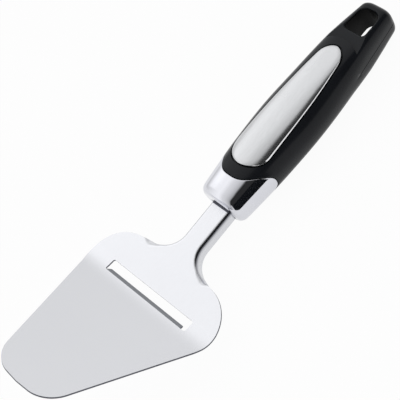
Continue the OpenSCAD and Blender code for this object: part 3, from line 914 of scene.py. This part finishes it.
def studio_world():
    """White surroundings with a broad soft box over the far side and a dark
    region over the near side, as the reflections need."""
    world = bpy.data.worlds.new("studio")
    world.use_nodes = True
    tree = world.node_tree
    tree.nodes.clear()
    way = add(tree, "ShaderNodeTexCoord").outputs["Generated"]
    part = add(tree, "ShaderNodeSeparateXYZ", {"Vector": way}).outputs
    place = add(tree, "ShaderNodeMath", {0: part["Y"], 1: 0.5, 2: 0.5}, operation="MULTIPLY_ADD")
    base, box = (add(tree, "ShaderNodeValToRGB", {"Fac": place}, stops=[
        (at, (grey, grey, grey, 1)) for at, grey in greys]) for greys in (ROOM, SOFT_BOX))
    mask = {}
    for name, (axis, start, end, first, last) in MASKS.items():
        mask[name] = add(tree, "ShaderNodeMapRange", {
            "Value": part[axis], "From Min": start, "From Max": end,
            "To Min": first, "To Max": last}, interpolation_type="SMOOTHSTEP")

    wide = add(tree, "ShaderNodeMath", {0: mask["box_start"], 1: mask["box_end"]},
               operation="MULTIPLY")
    glow = add(tree, "ShaderNodeMath", {0: box, 1: wide, 2: mask["tail_side"]},
               operation="MULTIPLY_ADD")
    bright = add(tree, "ShaderNodeMath", {0: base, 1: glow}, operation="ADD")

    over = add(tree, "ShaderNodeMath", {0: mask["over_along"], 1: mask["over_up"]},
               operation="MULTIPLY")
    behind = add(tree, "ShaderNodeMath", {0: part["X"], 1: mask["near_half"]},
                 operation="MULTIPLY")
    spread = add(tree, "ShaderNodeMath", {0: over, 1: behind}, operation="MAXIMUM")
    nearness = add(tree, "ShaderNodeMath", {0: spread, 1: part["Y"]}, operation="SUBTRACT")
    near = add(tree, "ShaderNodeMapRange", {
        "Value": nearness, "From Min": DARK_START, "From Max": DARK_FULL},
        interpolation_type="SMOOTHSTEP")
    dark = add(tree, "ShaderNodeMath", {0: near, 1: mask["raised"]}, operation="MULTIPLY")
    dimmed = add(tree, "ShaderNodeMath", {0: dark, 1: -DARKEST, 2: 1.0},
                 operation="MULTIPLY_ADD")
    light = add(tree, "ShaderNodeMath", {0: bright, 1: dimmed}, operation="MULTIPLY")

    seen = add(tree, "ShaderNodeLightPath").outputs["Is Camera Ray"]
    level = add(tree, "ShaderNodeMix", {0: seen, 2: light, 3: 1.0}, data_type="FLOAT")
    sky = add(tree, "ShaderNodeBackground", {"Color": (1, 1, 1, 1), "Strength": level})
    add(tree, "ShaderNodeOutputWorld", {"Surface": sky})
    bpy.context.scene.world = world


def stage_card(name, stuff, place):
    """A flat card of the studio, whose corners at -1 and 1 go where place says."""
    bm = bmesh.new()
    bmesh.ops.create_grid(bm, x_segments=1, y_segments=1, size=1)
    for v in bm.verts:
        v.co = place(v.co.x, v.co.y)
    card = object_from(bm, name)
    card.data.materials.append(stuff)
    return card


def pale_floor():
    """White paint that keeps the slicer's shadow, and shows nearly as plain white
    to the camera and in reflections."""
    stuff, tree = material("pale_floor")
    paint = add(tree, "ShaderNodeBsdfDiffuse", {"Color": linear("#FAFAFB")})
    ray = add(tree, "ShaderNodeLightPath").outputs
    in_mirror = add(tree, "ShaderNodeMath", {0: ray["Is Glossy Ray"], 1: WHITE_MIRRORED},
                    operation="MULTIPLY")
    white = add(tree, "ShaderNodeMath", {
        0: ray["Is Camera Ray"], 1: WHITE_SEEN, 2: in_mirror}, operation="MULTIPLY_ADD")
    glow = add(tree, "ShaderNodeEmission", {"Color": (1, 1, 1, 1), "Strength": 1.0})
    both = add(tree, "ShaderNodeMixShader", {0: white, 1: paint, 2: glow})
    add(tree, "ShaderNodeOutputMaterial", {"Surface": both})
    stage_card("floor", stuff, lambda u, v: (FLOOR_HALF * u, FLOOR_HALF * v, 0))


def black_flag():
    """A dark felt card beside the slicer, which only its reflections see: it
    gives the chrome its black band."""
    stuff, tree = material("black_felt")
    felt = add(tree, "ShaderNodeBsdfDiffuse", {"Color": linear("#1C1E21")})
    add(tree, "ShaderNodeOutputMaterial", {"Surface": felt})
    flag = stage_card("flag", stuff, lambda u, v: (
        FLAG_X + FLAG_HALF_X * u, FLAG_Y, FLAG_Z + FLAG_HALF_Z * v))
    flag.visible_camera = flag.visible_diffuse = False
    flag.visible_shadow = flag.visible_transmission = False


def aim_camera():
    """The view of the photograph."""
    forward, up = Vector(CAMERA_WAY).normalized(), Vector(CAMERA_UP)
    up = (up - forward * up.dot(forward)).normalized()
    turn = Matrix((forward.cross(up), up, -forward)).transposed().to_4x4()
    data = bpy.data.cameras.new("camera")
    data.lens, data.sensor_width = LENS, SENSOR
    camera = bpy.data.objects.new("camera", data)
    camera.matrix_world = Matrix.Translation(in_frame(CAMERA_AT)) @ turn
    bpy.context.scene.collection.objects.link(camera)
    bpy.context.scene.camera = camera


studio_world()
pale_floor()
black_flag()
aim_camera()
bpy.context.scene.view_settings.view_transform = "Standard"
bpy.context.view_layer.update()
